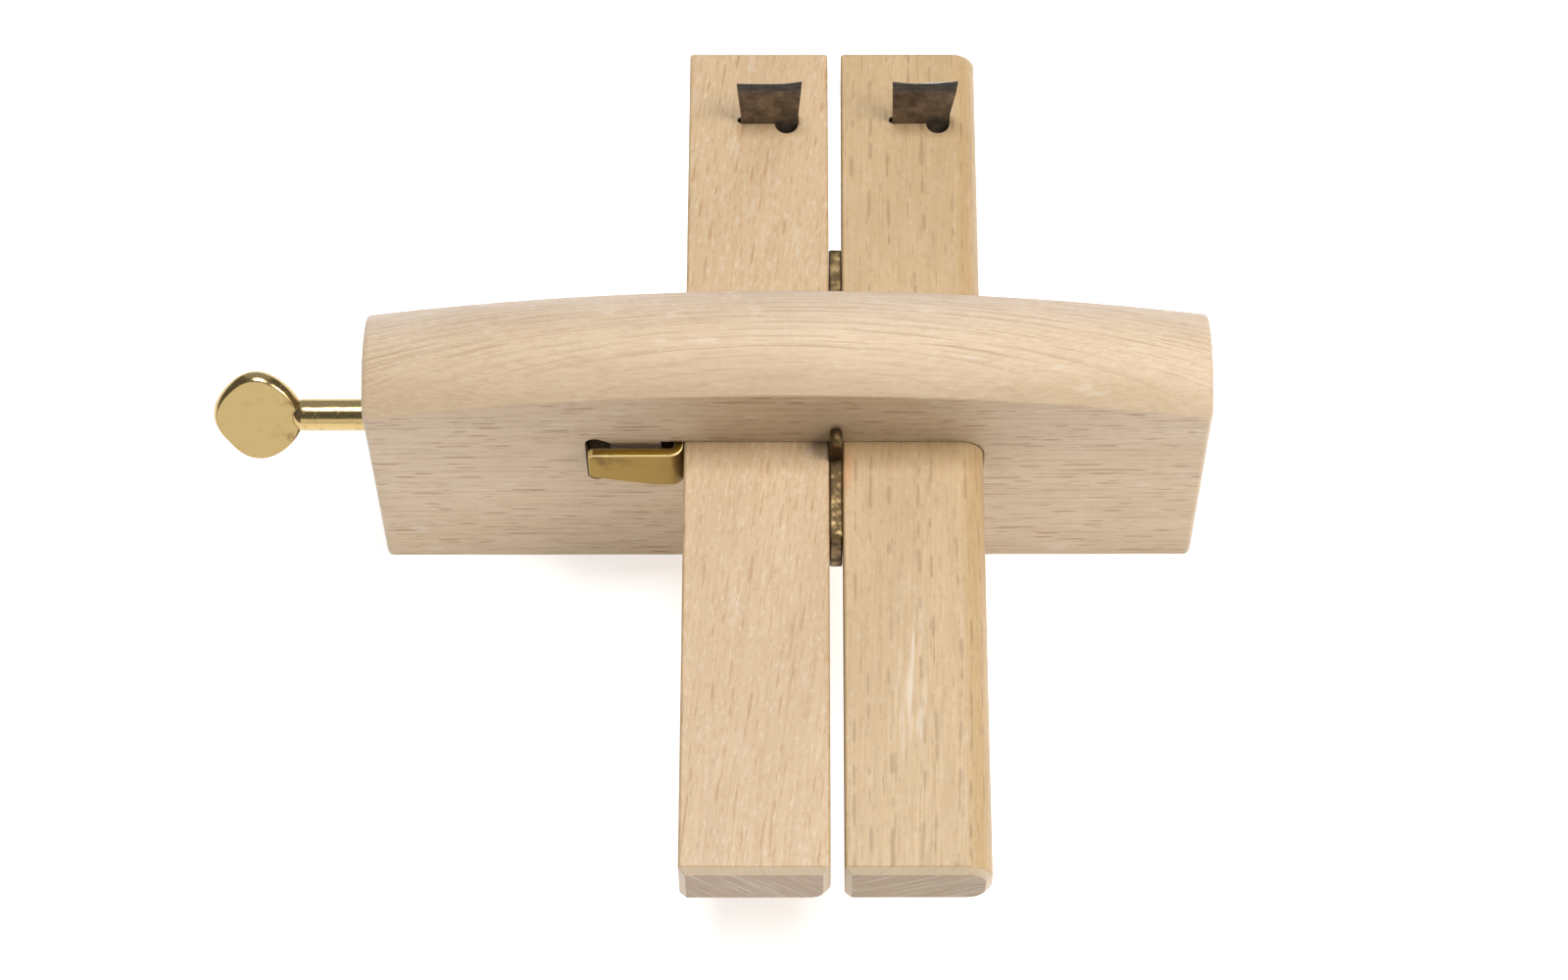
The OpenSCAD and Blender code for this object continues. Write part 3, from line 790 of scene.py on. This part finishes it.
pieces = (
    (make_fence(), "fence", "fence", "fence_oak",
     make_oak("oak_fence", (0.0, -1.3, 1.0), (1.0, 0.0, 0.008), FENCE_OAK)),
    (make_beam("left"), "beam_left", "beam_left", "left_beam_oak",
     make_oak("oak_left", (0.656, 0.0, -0.755), (0.11, 1.0, 0.02), LEFT_OAK)),
    (make_beam("right"), "beam_right", "beam_right", "right_beam_oak",
     make_oak("oak_right", (0.89, 0.0, 0.454), (0.02, 1.0, 0.01), RIGHT_OAK)),
    (make_plate(), "fence", "separator_plate", "plate_brass", make_brass("brass_plate", PLATE_BRASS)),
    (make_shoe(), "clamp_shoe", "clamp_shoe", "shoe_brass", make_brass("brass_shoe", SHOE_BRASS)),
    (make_nut(), "fence", "screw_nut", "screw_brass", make_brass("brass_nut_painted_shade", NUT_BRASS_PAINTED_SHADE)),
    (make_screw(), "thumb_screw", "thumb_screw", "screw_brass", make_brass("brass_screw", SCREW_BRASS)),
    (make_blade("left"), "blade_left", "blade_left", "knife_steel", make_knife_steel()),
    (make_blade("right"), "blade_right", "blade_right", "knife_steel", make_knife_steel()),
)
for piece, body, node, slot, material in pieces:
    piece.data.materials.clear()
    piece.data.materials.append(material)
    even_normals(piece)
    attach(piece, body)
    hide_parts(node)

half_floor = 9.0
floor_mesh = bpy.data.meshes.new("floor")
floor_mesh.from_pydata([(-half_floor, -half_floor, 0), (half_floor, -half_floor, 0),
                        (half_floor, half_floor, 0), (-half_floor, half_floor, 0)], [], [(0, 1, 2, 3)])
floor_mesh.materials.append(make_floor_paper())
floor = bpy.data.objects.new("floor", floor_mesh)
bpy.context.scene.collection.objects.link(floor)


def add_softbox(name, place, size, power, colour):
    """A square area light, aimed at the object's middle."""
    data = bpy.data.lights.new(name, "AREA")
    data.size = size
    data.energy = power
    data.color = colour
    lamp = bpy.data.objects.new(name, data)
    lamp.location = place
    lamp.rotation_euler = (Vector((0, 0, 0.03)) - Vector(place)).to_track_quat("-Z", "Y").to_euler()
    bpy.context.scene.collection.objects.link(lamp)


world = bpy.data.worlds.new("world")
world.use_nodes = True
background = world.node_tree.nodes["Background"]
background.inputs[0].default_value = (0.97, 0.985, 1.0, 1.0)
background.inputs[1].default_value = 0.19
bpy.context.scene.world = world
add_softbox("key", (0.55, -0.17, 0.78), 0.38, 6.3, (1.0, 0.975, 0.94))
add_softbox("top", (-0.02, 0.18, 1.0), 0.38, 8.4, (0.97, 0.985, 1.0))
add_softbox("card", (-0.2, -1.0, 0.32), 0.5, 0.95, (1.0, 0.99, 0.97))
add_softbox("rim", (-0.1, 1.1, 0.6), 1.4, 2.6, (0.86, 0.93, 1.0))

bpy.context.scene.view_settings.view_transform = "Standard"
